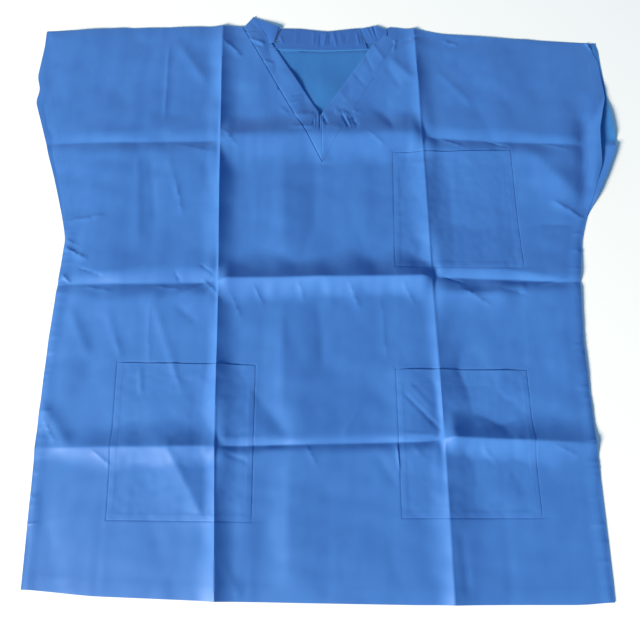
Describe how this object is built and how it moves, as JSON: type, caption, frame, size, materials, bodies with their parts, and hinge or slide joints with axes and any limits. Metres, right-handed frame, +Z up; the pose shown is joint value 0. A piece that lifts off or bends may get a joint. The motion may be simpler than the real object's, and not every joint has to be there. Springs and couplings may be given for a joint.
{
  "type": "scrub suit top",
  "caption": "V-neck scrub suit top in light nonwoven cloth with cap sleeves and patch pockets, unfolded and laid flat, face up.",
  "frame": {"origin": "middle of the outline seen from above, on the surface that the top lies on", "axes": "+X across the top to its wearer's left side, +Y from the hem to the neck, +Z up out of the front"},
  "size_m": [0.76, 0.754, 0.0197],
  "materials": {
    "nonwoven": "semi-matte point-bonded nonwoven"
  },
  "bodies": {
    "root": {"back_panel": "nonwoven", "front_panel": "nonwoven", "neckband_left": "nonwoven", "neckband_right": "nonwoven", "neckband_back": "nonwoven", "chest_pocket": "nonwoven", "lower_pocket_left": "nonwoven", "lower_pocket_right": "nonwoven"}
  },
  "joints": []
}
